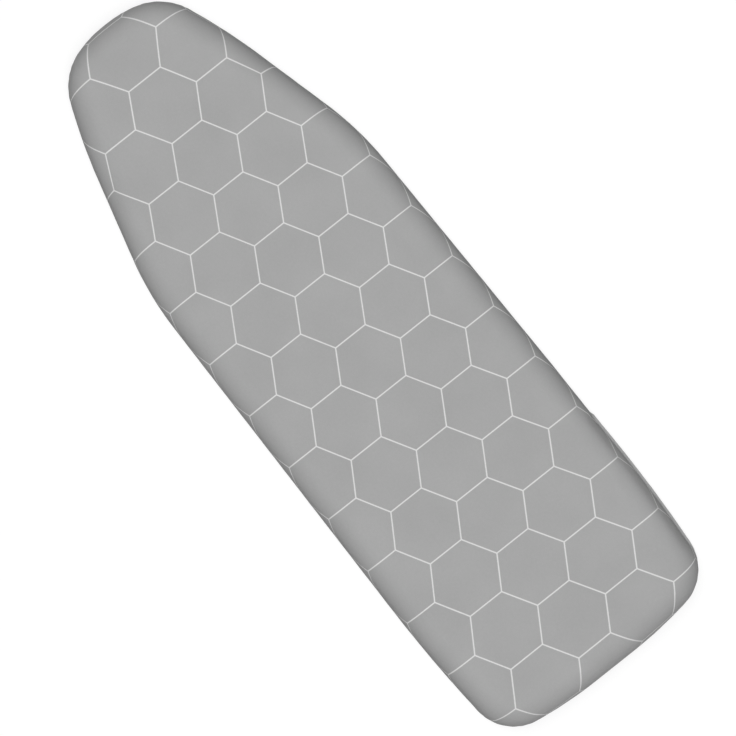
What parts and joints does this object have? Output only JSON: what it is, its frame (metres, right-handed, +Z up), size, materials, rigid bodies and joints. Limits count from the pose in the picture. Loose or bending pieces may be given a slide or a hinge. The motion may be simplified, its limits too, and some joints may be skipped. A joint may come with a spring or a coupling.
{
  "type": "ironing board cover",
  "caption": "Fitted, padded fabric cover for an ironing board, with a rolled edge, an elasticated hem and sprung strap clips under it.",
  "frame": {"origin": "middle of the bounding box in X and Y, on the plane that the turned-under edge rests on", "axes": "+X along the cover to its rounded nose, +Y to its left side, +Z up, out of the ironing face"},
  "size_m": [1.22, 0.416, 0.048],
  "materials": {
    "cotton_face": "matt woven cotton with a printed hexagon line pattern",
    "foam": "open-cell foam sheet",
    "felt": "needled polyester felt",
    "binding_tape": "folded cotton tape",
    "elastic": "woven elastic",
    "plated_steel": "bright plated",
    "spring_steel": "drawn wire"
  },
  "bodies": {
    "cover": {"face_fabric": "cotton_face", "foam_pad": "foam", "felt_underlay": "felt", "hem_binding_heel": "binding_tape", "hem_binding_left": "binding_tape", "hem_binding_right": "binding_tape", "hem_binding_nose": "binding_tape", "hem_elastic": "elastic", "strap_heel": "elastic", "clip_base_heel_left": "plated_steel", "clip_rivet_heel_left": "plated_steel", "clip_spring_heel_left": "spring_steel", "clip_base_heel_right": "plated_steel", "clip_rivet_heel_right": "plated_steel", "clip_spring_heel_right": "spring_steel", "strap_middle": "elastic", "clip_base_middle_left": "plated_steel", "clip_rivet_middle_left": "plated_steel", "clip_spring_middle_left": "spring_steel", "clip_base_middle_right": "plated_steel", "clip_rivet_middle_right": "plated_steel", "clip_spring_middle_right": "spring_steel", "strap_nose": "elastic", "clip_base_nose_left": "plated_steel", "clip_rivet_nose_left": "plated_steel", "clip_spring_nose_left": "spring_steel", "clip_base_nose_right": "plated_steel", "clip_rivet_nose_right": "plated_steel", "clip_spring_nose_right": "spring_steel"},
    "lever_heel_left": {"clip_lever_heel_left": "plated_steel"},
    "lever_heel_right": {"clip_lever_heel_right": "plated_steel"},
    "lever_middle_left": {"clip_lever_middle_left": "plated_steel"},
    "lever_middle_right": {"clip_lever_middle_right": "plated_steel"},
    "lever_nose_left": {"clip_lever_nose_left": "plated_steel"},
    "lever_nose_right": {"clip_lever_nose_right": "plated_steel"}
  },
  "joints": [
    {"name": "clip_heel_left_jaw", "type": "hinge", "parent": "cover", "child": "lever_heel_left", "pos_m": [-0.4026, 0.14376, 0.0046], "axis": [1, 0, 0], "range_deg": [0, 18], "stiffness_Nm_per_rad": 0.02, "springref_deg": -20.05, "deforming": ["clip_spring_heel_left"]},
    {"name": "clip_heel_right_jaw", "type": "hinge", "parent": "cover", "child": "lever_heel_right", "pos_m": [-0.4026, -0.14376, 0.0046], "axis": [-1, 0, 0], "range_deg": [0, 18], "stiffness_Nm_per_rad": 0.02, "springref_deg": -20.05, "deforming": ["clip_spring_heel_right"]},
    {"name": "clip_middle_left_jaw", "type": "hinge", "parent": "cover", "child": "lever_middle_left", "pos_m": [-0.1037, 0.14072, 0.0046], "axis": [1, 0, 0], "range_deg": [0, 18], "stiffness_Nm_per_rad": 0.02, "springref_deg": -20.05, "deforming": ["clip_spring_middle_left"]},
    {"name": "clip_middle_right_jaw", "type": "hinge", "parent": "cover", "child": "lever_middle_right", "pos_m": [-0.1037, -0.14072, 0.0046], "axis": [-1, 0, 0], "range_deg": [0, 18], "stiffness_Nm_per_rad": 0.02, "springref_deg": -20.05, "deforming": ["clip_spring_middle_right"]},
    {"name": "clip_nose_left_jaw", "type": "hinge", "parent": "cover", "child": "lever_nose_left", "pos_m": [0.183, 0.13692, 0.0046], "axis": [1, 0, 0], "range_deg": [0, 18], "stiffness_Nm_per_rad": 0.02, "springref_deg": -20.05, "deforming": ["clip_spring_nose_left"]},
    {"name": "clip_nose_right_jaw", "type": "hinge", "parent": "cover", "child": "lever_nose_right", "pos_m": [0.183, -0.13692, 0.0046], "axis": [-1, 0, 0], "range_deg": [0, 18], "stiffness_Nm_per_rad": 0.02, "springref_deg": -20.05, "deforming": ["clip_spring_nose_right"]}
  ]
}
